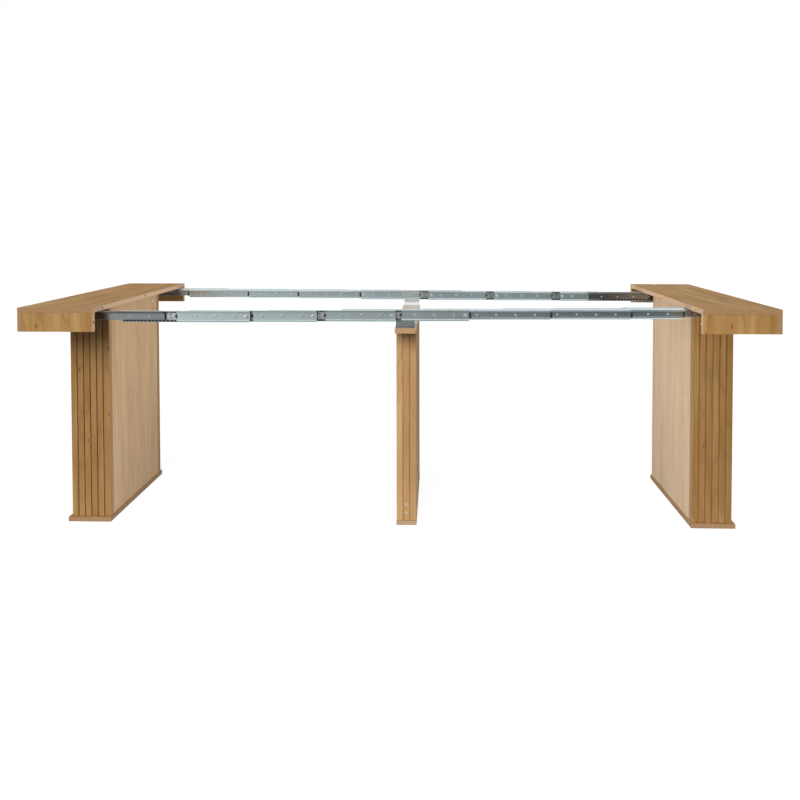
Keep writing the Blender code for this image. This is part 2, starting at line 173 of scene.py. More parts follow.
# Wood tones: pale, deep, warm and dark
OAK_TONES = ((0.535, 0.35, 0.142), (0.325, 0.173, 0.05), (0.47, 0.245, 0.099), (0.19, 0.09, 0.026))
TOP_TONES = ((0.505, 0.325, 0.12), (0.305, 0.158, 0.04), (0.445, 0.226, 0.082), (0.18, 0.083, 0.022))
CENTRE_TONES = ((0.664, 0.445, 0.218), (0.423, 0.239, 0.097), (0.56, 0.319, 0.15), (0.237, 0.12, 0.044))
BEECH_TONES = ((0.7, 0.49, 0.33), (0.56, 0.38, 0.24), (0.66, 0.44, 0.29), (0.42, 0.27, 0.16))
CREAM_TONES = ((0.83, 0.765, 0.68), (0.7, 0.635, 0.55), (0.79, 0.7, 0.615), (0.6, 0.51, 0.42))
# The right leg's slats are a darker copy of the left's: painted shade that evens out the stronger light
# on that leg
SLAT_TONES = {
    "left": ((0.486, 0.313, 0.128), (0.288, 0.151, 0.046), (0.419, 0.209, 0.086), (0.149, 0.068, 0.02)),
    "right": ((0.443, 0.281, 0.111), (0.262, 0.136, 0.04), (0.381, 0.187, 0.075), (0.135, 0.061, 0.018)),
}
# The right inner board is a paler copy of the left one: painted light from the left
BOARD_TONES = {
    "left": ((0.68, 0.48, 0.285), (0.53, 0.355, 0.195), (0.66, 0.415, 0.25), (0.4, 0.25, 0.135)),
    "right": ((0.78, 0.59, 0.395), (0.64, 0.465, 0.295), (0.76, 0.53, 0.36), (0.5, 0.34, 0.21)),
}

# Where the print of a slab leg's boards starts
BOARD_SEEDS = {"left": 5.4, "right": 8.3}
PANEL_SEEDS = {"left": 10.0, "right": 20.0}
OUTER_SEEDS = {"left": 15.0, "right": 25.0}

# Edge bands, two tones each; the common one is FRONT_BAND, or SIDE_BAND on faces that look along X
FRONT_BAND = ((0.42, 0.248, 0.126), (0.315, 0.177, 0.084))
SIDE_BAND = ((0.7, 0.475, 0.315), (0.57, 0.385, 0.245))
PLATE_BAND = ((0.56, 0.34, 0.18), (0.43, 0.26, 0.135))
FOOT_BAND = ((0.385, 0.235, 0.126), (0.286, 0.168, 0.085))
CENTRE_FOOT_BAND = ((0.48, 0.315, 0.195), (0.385, 0.244, 0.146))
REAR_BANDS = {
    "left": FRONT_BAND,
    "right": ((0.66, 0.485, 0.315), (0.54, 0.385, 0.24)),
}

# Knots as in the photograph: x and z in metres, and how far one reaches along X, Y and Z
LEG_KNOTS = {
    "left": ((-1.0175, 0.380), (-1.0916, 0.285), (-1.1219, 0.535), (-1.0165, 0.611)),
    "right": ((1.0545, 0.282),),
}
APRON_KNOTS = ((-1.1634, 0.721), (1.0662, 0.726))
KNOT_REACH = (0.0035, 0.03, 0.010)
KNOT_COLOUR = (0.13, 0.06, 0.018)
KNOT_RAGGED = 0.35
KNOT_FADE = (0.35, 1.25)
KNOT_SHARE = 0.8

# Layers of the wood print: how far each is drawn out along the grain, its noise as scale, detail
# and roughness, the values between which it fades in, and how much of it shows
BAND_STRETCH = 12.0
DRIFT_STRETCH = 4.5
RING_STRETCH = 7.0
FIBRE_STRETCH = 70.0
SLAT_SHIFT = 37.0
BROAD_NOISE = (30.0, 3.0, 0.55)
HUE_NOISE = (22.0, 2.0)
NARROW_NOISE = (120.0, 3.0, 0.6)
RING_NOISE = (9.0, 1.5)
FIBRE_NOISE = (620.0, 3.0, 0.65)
PORE_NOISE = (1500.0, 1.0)
RING_COUNT = 24.0
BROAD_FADE = (0.37, 0.63)
HUE_FADE = (0.42, 0.6)
NARROW_FADE = (0.36, 0.66)
RING_FADE = (0.7, 1.0)
FIBRE_FADE = (0.35, 0.65)
PORE_FADE = (0.62, 0.74)
HUE_SHARE = 0.7
NARROW_SHARE = 0.45
RING_SHARE = 0.32
FIBRE_SHARE = 0.3
PORE_SHARE = 0.32
SLAT_SHARE = 0.45

# Surfaces: most of a noise lies in NOISE_SPAN; a bump is its strength and its depth in metres
NOISE_SPAN = (0.3, 0.7)
FACING_LIMIT = 0.7
WOOD_BUMP = (0.12, 0.0004)
PORE_DEPTH = 0.5
WOOD_ROUGHNESS = (0.56, 0.68)
WOOD_SPECULAR = 0.2
ROLLING_STRETCH = 160.0
ROLLING_NOISE = (1400.0, 2.0, 0.6)
CLOUD_NOISE = (34.0, 3.0, 0.6)
FLECK_NOISE = (420.0, 1.0)
FLECK_FADE = (0.55, 0.75)
FLECK_SHARE = 0.08
INNER_SHADE = (0.16, 0.18, 0.2)
INNER_SHARE = 0.15
ZINC_BUMP = (0.03, 0.0002)
ZINC_ROUGHNESS = (0.27, 0.23)
MARK_NOISE = (900.0, 3.0, 0.7)
STAIN_NOISE = (120.0, 2.0)
MARK_BUMP = (0.05, 0.0002)
MARK_SMOOTHER = 0.06
MARK_ROUGHER = 0.08
PLASTIC_NOISE = (700.0, 2.0, 0.6)
PLASTIC_BUMP = (0.1, 0.0002)
PLASTIC_ROUGHNESS = (0.48, 0.62)

# Metal: bright and dull tone, and how metallic or rough it is; SHADED_METAL lets shadows show
ZINC_TONES = ((0.65, 0.755, 0.765), (0.58, 0.675, 0.69))
ZINC_METAL = 0.88
RUNNER_TONES = ((0.36, 0.39, 0.4), (0.25, 0.275, 0.285))
LIT_RUNNER_TONES = ((0.5, 0.53, 0.54), (0.38, 0.41, 0.42))
LIT_RUNNER_METAL = 0.6
STRIP_TONES = ((0.22, 0.22, 0.215), (0.165, 0.165, 0.16))
# The next tones are a paler copy of the strip tones: painted light
LIT_STRIP_TONES = ((0.5, 0.56, 0.56), (0.42, 0.47, 0.475))
BRACKET_TONES = ((0.53, 0.58, 0.59), (0.39, 0.43, 0.44))
# The next tones make the rear bracket a paler, lit copy of the front one: painted light
LIT_BRACKET_TONES = ((0.87, 0.88, 0.9), (0.78, 0.79, 0.81))
CAP_TONES = ((0.48, 0.435, 0.34), (0.415, 0.37, 0.29))
SHADED_METAL = 0.1
SCREW_TONES = ((0.93, 0.94, 0.95), (0.8, 0.82, 0.83))
SCREW_ROUGHNESS = 0.24
TAIL_ROUGHNESS = 0.09
CAGE_TONES = ((0.84, 0.85, 0.87), (0.66, 0.67, 0.69))
CAGE_ROUGHNESS = 0.28
BRASS_TONES = ((0.93, 0.66, 0.28), (0.74, 0.47, 0.16))
BRASS_ROUGHNESS = 0.34

# Plastic: dark and pale tone
PLASTIC_TONES = ((0.01, 0.01, 0.011), (0.024, 0.024, 0.026))

# Floor and world: metres, and brightness where 1 is white
WHITE = (1.0, 1.0, 1.0)
WORLD_FILL = 0.14
FLOOR_SIZE = 40.0
FLOOR_GLOW = 0.9
FLOOR_SHADE = (0.2, 0.2, 0.2)
FLOOR_BOUNCE = (0.18, 0.18, 0.18)

# Cards that show in the sheen alone: metres and brightness; the front card's brightness runs from
# CARD_LEFT to CARD_RIGHT, which are (x, brightness)
CARD_HALF = 4.0
CARD_TOP = 2.0
CARD_LIFT = 0.002
CARD_Y = -4.0
CARD_FOLD = -2.0
CARD_NEAR = -0.6
CARD_PART = 0.35
CARD_FADE = 0.35
CARD_LEFT = (-2.6, 0.79)
CARD_RIGHT = (1.2, 0.065)
SIDE_CARD_X = 4.0
SIDE_CARD_LEVEL = 0.06
BACK_CARD_Y = 4.0
BACK_CARD_LEVEL = 0.2

# Sun lamps: the way to the lamp, its power, its softness in degrees, and whether the metal shows it
SUN_LAMPS = {
    "front": ((-0.15, -0.85, 0.44), 2.85, 35, False),
    "left": ((-0.95, -0.1, 0.16), 1.2, 35, True),
    "right": ((0.95, -0.1, 0.16), 1.1, 35, False),
    "back": ((0.2, 0.95, 0.12), 1.6, 60, False),
}

# Panel lamps: metres, powers, radians and a colour
BAY_GAP = 0.1
BAY_HEIGHT = 0.38
BAY_SIZE = (0.44, 0.44)
LEFT_BAY_POWER = 3.3
RIGHT_BAY_POWER = 2.9
TOE_GAP = 0.2
TOE_HEIGHT = 0.02
TOE_SIZE = (2.4, 0.03)
TOE_POWER = 0.66
TOE_COLOUR = (0.66, 0.82, 1.0)
UP_GAP = 0.45
UP_HEIGHT = 0.05
UP_SIZE = (0.24, 0.02)
UP_POWER = 0.25
UP_RISE = math.radians(59)
UP_SPREAD = math.radians(24)

for leftover in list(bpy.data.objects):
    bpy.data.objects.remove(leftover)

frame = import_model()


# Node graphs


class Graph:
    """The node tree of one material, with short calls for the nodes used here."""

    def __init__(self, name):
        self.material = bpy.data.materials.new(name)
        self.material.use_nodes = True
        self.tree = self.material.node_tree
        self.shader = self.tree.nodes["Principled BSDF"]
        self.place = self.node("TexCoord", {}, output="Object")
        self.axis = self.split(self.place)

    def node(self, kind, inputs, output=0, **settings):
        """Add a node, feed its inputs with values or sockets, and return one output."""
        item = self.tree.nodes.new("ShaderNode" + kind)
        for key, value in settings.items():
            setattr(item, key, value)
        for key, value in inputs.items():
            self.feed(item.inputs[key], value)
        return item.outputs[output]

    def feed(self, socket, value):
        """Link a socket to another one, or set its value."""
        if isinstance(value, bpy.types.NodeSocket):
            self.tree.links.new(value, socket)
        else:
            socket.default_value = value

    def split(self, vector):
        """The X, Y and Z of a vector."""
        parts = self.tree.nodes.new("ShaderNodeSeparateXYZ")
        self.tree.links.new(vector, parts.inputs[0])
        return dict(zip("XYZ", parts.outputs))

    def maths(self, operation, first, second=0.0):
        return self.node("Math", {0: first, 1: second}, operation=operation)

    def noise(self, vector, scale, detail, roughness=0.5):
        inputs = {"Vector": vector, "Scale": scale, "Detail": detail, "Roughness": roughness}
        return self.node("TexNoise", inputs)

    def remap(self, value, low, high, to_low=0.0, to_high=1.0):
        """Carry the span from low to high over to another one, and stop at its ends."""
        inputs = {"Value": value, "From Min": low, "From Max": high, "To Min": to_low, "To Max": to_high}
        return self.node("MapRange", inputs)

    def mix(self, share, first, second):
        """The first colour at a share of 0, the second at 1."""
        inputs = {0: share, 6: colour(first), 7: colour(second)}
        return self.node("Mix", inputs, output=2, data_type="RGBA")

    def stretched(self, along, stretch, shift=None):
        """Object coordinates drawn out along one axis, with an optional shift along it."""
        parts = dict(self.axis)
        if shift is not None:
            parts[along] = self.maths("ADD", parts[along], shift)
        parts[along] = self.maths("DIVIDE", parts[along], stretch)
        return self.node("CombineXYZ", {0: parts["X"], 1: parts["Y"], 2: parts["Z"]})

    def facing(self, axis):
        """1 on surfaces that look along an axis, either way, and 0 elsewhere."""
        normal = self.node("NewGeometry", {}, output="Normal")
        size = self.maths("ABSOLUTE", self.split(normal)[axis])
        return self.maths("GREATER_THAN", size, FACING_LIMIT)

    def bump(self, height, strength, distance):
        normal = self.node("Bump", {"Height": height, "Strength": strength, "Distance": distance})
        self.feed(self.shader.inputs["Normal"], normal)

    def finish(self, **inputs):
        """Feed the shader's inputs and return the material."""
        for key, value in inputs.items():
            self.feed(self.shader.inputs[key.replace("_", " ")], value)
        return self.material

    def show(self, shader):
        """Show a shader other than the principled one, and return the material."""
        self.feed(self.tree.nodes["Material Output"].inputs["Surface"], shader)
        return self.material


def colour(value):
    """A colour with alpha from three numbers; sockets pass through."""
    if isinstance(value, bpy.types.NodeSocket):
        return value
    return (*value, 1.0)


# Finishes


def slat_number(graph, axis, start, seed):
    """A number from 0 to 1 for each slat, counted along an axis from its start."""
    number = graph.maths("DIVIDE", graph.maths("SUBTRACT", graph.axis[axis], start), SLAT_PITCH)
    number = graph.maths("ADD", graph.maths("FLOOR", number), seed)
    return graph.node("TexWhiteNoise", {"W": number}, noise_dimensions="1D")


def wood_print(graph, grain, shift, tones):
    """The printed grain along one axis: its colour, its fibre and its pores."""
    pale, deep, warm, dark = tones
    banded = graph.stretched(grain, BAND_STRETCH, shift)
    drift = graph.stretched(grain, DRIFT_STRETCH, shift)
    arched = graph.stretched(grain, RING_STRETCH, shift)
    fine = graph.stretched(grain, FIBRE_STRETCH, shift)

    broad = graph.remap(graph.noise(banded, *BROAD_NOISE), *BROAD_FADE)
    hue = graph.remap(graph.noise(drift, *HUE_NOISE), *HUE_FADE)
    narrow = graph.remap(graph.noise(banded, *NARROW_NOISE), *NARROW_FADE)
    growth = graph.maths("MULTIPLY", graph.noise(arched, *RING_NOISE), RING_COUNT)
    rings = graph.remap(graph.maths("PINGPONG", growth, 1.0), *RING_FADE)
    fibre = graph.noise(fine, *FIBRE_NOISE)
    pores = graph.remap(graph.noise(fine, *PORE_NOISE), *PORE_FADE)

    tone = graph.mix(broad, deep, pale)
    tone = graph.mix(graph.maths("MULTIPLY", hue, HUE_SHARE), tone, warm)
    tone = graph.mix(graph.maths("MULTIPLY", narrow, NARROW_SHARE), tone, deep)
    tone = graph.mix(graph.maths("MULTIPLY", rings, RING_SHARE), tone, dark)
    tone = graph.mix(graph.remap(fibre, *FIBRE_FADE, 0.0, FIBRE_SHARE), tone, deep)
    tone = graph.mix(graph.maths("MULTIPLY", pores, PORE_SHARE), tone, dark)
    return tone, fibre, pores


def knotted(graph, tone, fibre, knots):
    """The tone with a dark, ragged spot at each knot."""
    for spot in knots:
        away = graph.node("VectorMath", {0: graph.place, 1: spot}, operation="SUBTRACT")
        away = graph.node("VectorMath", {0: away, 1: KNOT_REACH}, operation="DIVIDE")
        away = graph.node("VectorMath", {0: away}, output="Value", operation="LENGTH")
        ragged = graph.maths("ADD", away, graph.remap(fibre, 0.0, 1.0, -KNOT_RAGGED, KNOT_RAGGED))
        tone = graph.mix(graph.remap(ragged, *KNOT_FADE, KNOT_SHARE, 0.0), tone, KNOT_COLOUR)
    return tone


def edge_band(graph, fibre, tones):
    """The streaky edge band, in two tones of its own or in the common ones."""
    streak = graph.remap(fibre, *NOISE_SPAN)
    if tones:
        return graph.mix(streak, *tones)
    front = graph.mix(streak, *FRONT_BAND)
    side = graph.mix(streak, *SIDE_BAND)
    return graph.mix(graph.facing("X"), front, side)


def wood(name, grain, tones, face=None, slats=None, strips=None, band=None, knots=(), seed=0.0):
    """A printed wood finish with its grain along one axis.

    face is the axis that the printed faces look along; the other faces get the edge band.
    slats is (axis, start): each slat from there on has its own tone and its own piece of grain.
    strips is (axis, middle, half width): beyond it the finish turns into the edge band.
    band is the two tones of that edge band, where it isn't the common one.
    knots are points in metres, and seed picks the stretch of grain.
    """
    graph = Graph(name)
    if slats:
        _, deep, _, _ = tones
        slat = slat_number(graph, *slats, seed)
        shift = graph.maths("MULTIPLY", slat, SLAT_SHIFT)
        tone, fibre, pores = wood_print(graph, grain, shift, tones)
        tone = graph.mix(graph.maths("MULTIPLY", slat, SLAT_SHARE), tone, deep)
    else:
        tone, fibre, pores = wood_print(graph, grain, seed, tones)
    tone = knotted(graph, tone, fibre, knots)
    if face:
        tone = graph.mix(graph.facing(face), edge_band(graph, fibre, band), tone)
    if strips:
        axis, middle, half = strips
        out = graph.maths("ABSOLUTE", graph.maths("SUBTRACT", graph.axis[axis], middle))
        beyond = graph.maths("GREATER_THAN", out, half)
        tone = graph.mix(beyond, tone, edge_band(graph, fibre, band))
    relief = graph.maths("SUBTRACT", fibre, graph.maths("MULTIPLY", pores, PORE_DEPTH))
    graph.bump(relief, *WOOD_BUMP)
    roughness = graph.remap(fibre, *NOISE_SPAN, *WOOD_ROUGHNESS)
    return graph.finish(Base_Color=tone, Roughness=roughness, Specular_IOR_Level=WOOD_SPECULAR)


def zinc(name, tones, shaded=None, metal=1.0):
    """Zinc-plated sheet with rolling lines along X and a faint cloudy passivation.

    shaded is the Y beyond which the sheet is the duller inner section.
    metal is how metallic the finish is, from 0 to 1.
    """
    bright, dull = tones
    graph = Graph(name)
    rolled = graph.noise(graph.stretched("X", ROLLING_STRETCH), *ROLLING_NOISE)
    cloud = graph.noise(graph.place, *CLOUD_NOISE)
    flecks = graph.noise(graph.place, *FLECK_NOISE)
    clouds = graph.remap(cloud, *NOISE_SPAN, 0.0, 0.5)
    lines = graph.remap(rolled, *NOISE_SPAN, 0.0, 0.5)
    share = graph.maths("ADD", clouds, lines)
    tone = graph.mix(share, dull, bright)
    tone = graph.mix(graph.remap(flecks, *FLECK_FADE, 0.0, FLECK_SHARE), tone, bright)
    if shaded is not None:
        inner = graph.maths("GREATER_THAN", graph.axis["Y"], shaded)
        tone = graph.mix(graph.maths("MULTIPLY", inner, INNER_SHARE), tone, INNER_SHADE)
    roughness = graph.remap(share, 0.0, 1.0, *ZINC_ROUGHNESS)
    graph.bump(rolled, *ZINC_BUMP)
    return graph.finish(Base_Color=tone, Roughness=roughness, Metallic=metal)


def bright_metal(name, tones, rough):
    """Turned or stamped bright metal with fine handling marks."""
    bright, dull = tones
    graph = Graph(name)
    marks = graph.noise(graph.place, *MARK_NOISE)
    stains = graph.noise(graph.place, *STAIN_NOISE)
    tone = graph.mix(graph.remap(stains, *NOISE_SPAN), dull, bright)
    roughness = graph.remap(marks, *NOISE_SPAN, rough - MARK_SMOOTHER, rough + MARK_ROUGHER)
    graph.bump(marks, *MARK_BUMP)
    return graph.finish(Base_Color=tone, Roughness=roughness, Metallic=1.0)


def black_plastic_and_shade(name):
    """Moulded black plastic with a fine grain, also used for the painted shade of the cage sheets and
    the end buffers.
    """
    graph = Graph(name)
    grain = graph.noise(graph.place, *PLASTIC_NOISE)
    tone = graph.mix(grain, *PLASTIC_TONES)
    roughness = graph.remap(grain, *NOISE_SPAN, *PLASTIC_ROUGHNESS)
    graph.bump(grain, *PLASTIC_BUMP)
    return graph.finish(Base_Color=tone, Roughness=roughness)


# Mesh making


def bent_strip(corners, bends, sheet):
    """Outline of a bent strip from its middle line's corners, with an arc at each inner one."""
    corners = [Vector(corner) for corner in corners]
    ways = [(after - before).normalized() for before, after in zip(corners, corners[1:])]
    spine = [(corners[0], ways[0])]
    for corner, into, out, radius in zip(corners[1:], ways, ways[1:], bends):
        turn = math.atan2(into.x * out.y - into.y * out.x, into.dot(out))
        start = corner - into * radius * math.tan(abs(turn) / 2)
        hub = start + Vector((-into.y, into.x)) * math.copysign(radius, turn)
        for step in range(BEND_STEPS + 1):
            part = Matrix.Rotation(turn * step / BEND_STEPS, 2)
            spine.append((hub + part @ (start - hub), part @ into))
    spine.append((corners[-1], ways[-1]))
    sides = [(point, Vector((-way.y, way.x)) * sheet / 2) for point, way in spine]
    back = [point - side for point, side in reversed(sides)]
    return [point + side for point, side in sides] + back


def add_between(form, near, far):
    """Add the closed shape between two outlines that match point for point."""
    near = [form.verts.new(spot) for spot in near]
    far = [form.verts.new(spot) for spot in far]
    form.faces.new(near)
    form.faces.new(far[::-1])
    for n in range(len(near)):
        form.faces.new((near[n - 1], far[n - 1], far[n], near[n]))


def add_swept(form, outline, length, middle=0.0):
    """Sweep a (y, z) outline along X, to both sides of a middle."""
    near = [(middle - length / 2, y, z) for y, z in outline]
    far = [(middle + length / 2, y, z) for y, z in outline]
    add_between(form, near, far)


def add_prism(form, outline, low, high):
    """Raise an (x, z) outline between two depths in Y."""
    near = [(x, low, z) for x, z in outline]
    far = [(x, high, z) for x, z in outline]
    add_between(form, near, far)


def dome(radius, height):
    """Profile of a domed head that rises from a small upright rim."""
    rim = height * DOME_RIM
    angles = [math.pi / 2 * n / DOME_STEPS for n in range(DOME_STEPS)]
    crown = [(radius * math.cos(a), rim + (height - rim) * math.sin(a)) for a in angles]
    return [(radius, 0.0)] + crown + [(0.0, height)]


def pointing(spot, way):
    """Matrix that stands +Z along a direction at a point."""
    return Matrix.Translation(spot) @ Vector(way).to_track_quat("Z", "Y").to_matrix().to_4x4()


def add_turned(form, profile, place):
    """Add a turned shape from its (radius, height) profile, closed at both ends."""
    rings = []
    for radius, height in profile:
        count = ROUND_SIDES if radius > 0 else 1
        angles = [2 * math.pi * n / count for n in range(count)]
        spots = [Vector((radius * math.cos(a), radius * math.sin(a), height)) for a in angles]
        rings.append([form.verts.new(place @ spot) for spot in spots])
    for low, high in zip(rings, rings[1:]):
        for n in range(ROUND_SIDES):
            lower = [low[n % len(low)], low[(n + 1) % len(low)]]
            upper = [high[(n + 1) % len(high)], high[n % len(high)]]
            form.faces.new(list(dict.fromkeys(lower + upper)))
    if len(rings[0]) > 1:
        form.faces.new(rings[0][::-1])


def mesh_from(form, name):
    """Turn a form into a smooth-shaded mesh with its corners kept sharp."""
    bmesh.ops.recalc_face_normals(form, faces=form.faces)
    mesh = bpy.data.meshes.new(name)
    form.to_mesh(mesh)
    form.free()
    mesh.shade_smooth()
    mesh.set_sharp_from_angle(angle=SHARP_ANGLE)
    return mesh


def add_object(name, data):
    """A new object in the scene."""
    item = bpy.data.objects.new(name, data)
    bpy.context.scene.collection.objects.link(item)
    return item


def cut(host, tool):
    """The host mesh with the tool mesh cut away."""
    base = add_object("host", host)
    other = add_object("tool", tool)
    step = base.modifiers.new("cut", "BOOLEAN")
    step.operation = "DIFFERENCE"
    step.solver = "EXACT"
    step.object = other
    scene = bpy.context.evaluated_depsgraph_get()
    made = bpy.data.meshes.new_from_object(base.evaluated_get(scene))
    for item in (base, other):
        bpy.data.objects.remove(item)
    return made


def piece(name, mesh, material, body, place=None):
    """Put a mesh in the scene, riding on a body."""
    item = add_object(name, mesh)
    if not mesh.materials:
        mesh.materials.append(material)
    if place is not None:
        item.matrix_world = place
    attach(item, body)
    return item


# Slides: sizes taken from the frame

running_low, running_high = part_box("front_slide_member_2")
middle_low, middle_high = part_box("front_slide_member_5")
cage_low, cage_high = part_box("front_ball_cage_1")
MEMBER_LENGTH = running_high.x - running_low.x
CHANNEL_HALF = (running_high.z - running_low.z) / 2
CHANNEL_DEPTH = (middle_high.y - middle_low.y) / 2
RUNNING_DEPTH = running_high.y - running_low.y
RAIL_MIDDLE = (running_high.z + running_low.z) / 2
INNER_HALF = RAIL_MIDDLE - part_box("front_slide_member_1")[0].z
STRIP_LENGTH = MEMBER_LENGTH / 2 - STRIP_END_GAP + ANGLE_SETBACK - JOINT_GAP
STRIP_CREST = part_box("left_top_panel")[0].z - STRIP_CLEARANCE - RAIL_MIDDLE
CAGE_LENGTH = cage_high.x - cage_low.x
CAGE_DEPTH = cage_high.y - cage_low.y
CAGE_STEEL = CAGE_LENGTH - CAGE_DRAWN_IN
CAGE_MIDDLE = CAGE_DRAWN_IN / 2
RACE = (cage_high.z - cage_low.z) / 2 - BALL_RADIUS


def channel_outline():
    """Section of an outer channel open to -Y, with its lips turned in."""
    face = SHEET / 2
    web = CHANNEL_DEPTH - SHEET / 2
    top = CHANNEL_HALF - SHEET / 2
    tip = CHANNEL_HALF - LIP
    corners = [(face, tip), (face, top), (web, top), (web, -top), (face, -top), (face, -tip)]
    return bent_strip(corners, [LIP_BEND, WEB_BEND, WEB_BEND, LIP_BEND], SHEET)


def inner_outline():
    """Section of the inner runner on a channel's back, open to +Y."""
    web = CHANNEL_DEPTH + SHEET / 2 + JOINT_GAP
    top = INNER_HALF - SHEET / 2
    corners = [(RUNNING_DEPTH, top), (web, top), (web, -top), (RUNNING_DEPTH, -top)]
    return bent_strip(corners, [INNER_BEND, INNER_BEND], SHEET)


def rivet_row(middle=0.0):
    """X of the rivets along a member."""
    first = middle - (RIVETS - 1) * RIVET_PITCH / 2
    return [first + n * RIVET_PITCH for n in range(RIVETS)]


def rivet_tail():
    """Profile of a rivet's flattened tail, with its foot sunk into the sheet."""
    shares = [1.0 - n / DOME_STEPS for n in range(DOME_STEPS + 1)]
    crown = [(TAIL_RADIUS * share, TAIL_HEIGHT * (1.0 - share**2)) for share in shares]
    return [(TAIL_RADIUS, -TAIL_SUNK)] + crown


def rivet_ends(name, profile, web, ways):
    """Rivet heads or tails in a row, at y = way * web and pointing that way, for each way."""
    form = bmesh.new()
    for way in ways:
        for x in rivet_row():
            add_turned(form, profile, pointing((x, way * web, 0.0), (0, way, 0)))
    return mesh_from(form, name)


def rolled_channel():
    """An outer channel with the domed end stop on its web."""
    form = bmesh.new()
    add_swept(form, channel_outline(), MEMBER_LENGTH)
    stop = (MEMBER_LENGTH / 2 - STOP_INSET, CHANNEL_DEPTH - SHEET, 0.0)
    add_turned(form, dome(STOP_RADIUS, STOP_HEIGHT), pointing(stop, (0, -1, 0)))
    return mesh_from(form, "channel")


def running_member(channel):
    """A channel open to -Y with the next stage's inner runner riveted to its back."""
    form = bmesh.new()
    form.from_mesh(channel)
    add_swept(form, inner_outline(), MEMBER_LENGTH)
    return mesh_from(form, "running_member")


def middle_member(channel):
    """Two channels back to back, joined at y = 0."""
    form = bmesh.new()
    for turn in (0.0, math.pi):
        half = channel.copy()
        half.transform(Matrix.Translation((0.0, -CHANNEL_DEPTH - JOINT_GAP / 2, 0.0)))
        half.transform(Matrix.Rotation(turn, 4, "Z"))
        form.from_mesh(half)
    return mesh_from(form, "middle_member")


def end_buffers_and_shade(ends, middle, name):
    """Black plastic buffers over the ends of a member's web, partly real bumpers and partly painted
    shade for the dark gap at each joint; middle is the depth of the web's joint.
    """
    form = bmesh.new()
    half = INNER_HALF - SHEET
    nose = half - SHADE_BUFFER_CHAMFER
    for end in ends:
        root = end * MEMBER_LENGTH / 2
        shoulder = root + end * (SHADE_BUFFER_LENGTH - SHADE_BUFFER_CHAMFER)
        tip = root + end * SHADE_BUFFER_LENGTH
        outline = [(root, -half), (shoulder, -half), (tip, -nose)]
        outline += [(tip, nose), (shoulder, half), (root, half)]
        add_prism(form, outline, middle - SHEET, middle + SHEET)
    return mesh_from(form, name)


def ball_spots():
    """(x, z) of the balls of a cage."""
    first = CAGE_MIDDLE - (BALLS_PER_ROW - 1) * BALL_PITCH / 2
    return [(first + n * BALL_PITCH, side * RACE) for side in (-1, 1) for n in range(BALLS_PER_ROW)]


def cage_cutouts():
    """What is cut from a cage's strip: fishtail notch, windows, slots and the open outer end."""
    form = bmesh.new()
    low = CAGE_DEPTH - DISH_DEPTH - 2 * CAGE_SHEET
    high = CAGE_DEPTH + CAGE_SHEET
    tip = CAGE_LENGTH / 2
    mouth = tip + CAGE_SHEET
    root = tip - NOTCH_DEPTH
    add_prism(form, [(mouth, NOTCH_WIDTH / 2), (root, 0.0), (mouth, -NOTCH_WIDTH / 2)], low, high)
    near = tip - WINDOW_START
    far = near - WINDOW_LENGTH
    edge = TONGUE_HALF - 2 * CAGE_SHEET
    window = [(near, edge), ((near + far) / 2, edge / WINDOW_TAPER), (far, edge)]
    root = tip - TONGUE_LENGTH
    reach = TONGUE_HALF + TONGUE_SLOT
    slot = [(mouth, TONGUE_HALF), (root, TONGUE_HALF), (root, reach), (mouth, reach)]
    for side in (-1, 1):
        for outline in (window, slot):
            add_prism(form, [(x, side * z) for x, z in outline], low, high)
    outer = CAGE_DRAWN_IN - tip - CAGE_SHEET
    inner = outer + CAGE_SHEET + CAGE_OPEN_LENGTH
    add_prism(form, [(outer, -reach), (inner, -reach), (inner, reach), (outer, reach)], low, high)
    return mesh_from(form, "cage_tool")


def ball_cage():
    """The steel of a ball cage: a strip and its balls.

    The strip has a fishtail inner (+X) end and an open outer end, which lies CAGE_DRAWN_IN short of
    the node's. It is dished along its middle, so that it passes over the rivet tails.
    """
    flat = CAGE_DEPTH - CAGE_SHEET / 2
    dish = flat - DISH_DEPTH
    side = DISH_HALF + DISH_DEPTH
    corners = [(flat, -RACE), (flat, -side), (dish, -DISH_HALF)]
    corners += [(dish, DISH_HALF), (flat, side), (flat, RACE)]
    strip = bmesh.new()
    add_swept(strip, bent_strip(corners, [DISH_BEND] * 4, CAGE_SHEET), CAGE_STEEL, CAGE_MIDDLE)
    form = bmesh.new()
    form.from_mesh(cut(mesh_from(strip, "cage_strip"), cage_cutouts()))
    for x, z in ball_spots():
        spot = Matrix.Translation((x, CAGE_DEPTH / 2, z))
        bmesh.ops.create_icosphere(form, subdivisions=BALL_FINENESS, radius=BALL_RADIUS, matrix=spot)
    return mesh_from(form, "ball_cage")


def ball_retainers():
    """The black plastic of a ball cage: a bar along each row of balls, and a thin black sheet behind the
    fishtail, painted shade in its windows.
    """
    form = bmesh.new()
    front = CAGE_DEPTH / 2 - RETAINER_PROUD
    back = CAGE_DEPTH - CAGE_SHEET
    near = RACE - RETAINER_HALF
    far = RACE + RETAINER_HALF
    bar = [(front, near), (back, near), (back, far - RETAINER_CHAMFER)]
    bar += [(back - RETAINER_CHAMFER, far), (front, far)]
    for side in (-1, 1):
        add_swept(form, [(y, side * z) for y, z in bar], CAGE_STEEL, CAGE_MIDDLE)
    # Painted shade: a thin black sheet behind the fishtail's windows
    tip = CAGE_LENGTH / 2 + SHADE_SHEET_OVERHANG
    root = CAGE_LENGTH / 2 - SHADE_SHEET_LENGTH
    half = DISH_HALF - DISH_BEND
    behind = CAGE_DEPTH - DISH_DEPTH + SHADE_SHEET_GAP
    shade_sheet = [(tip, -half), (root, -half), (root, half), (tip, half)]
    add_prism(form, shade_sheet, behind, behind + SHADE_SHEET_THICKNESS)
    return mesh_from(form, "ball_retainers")


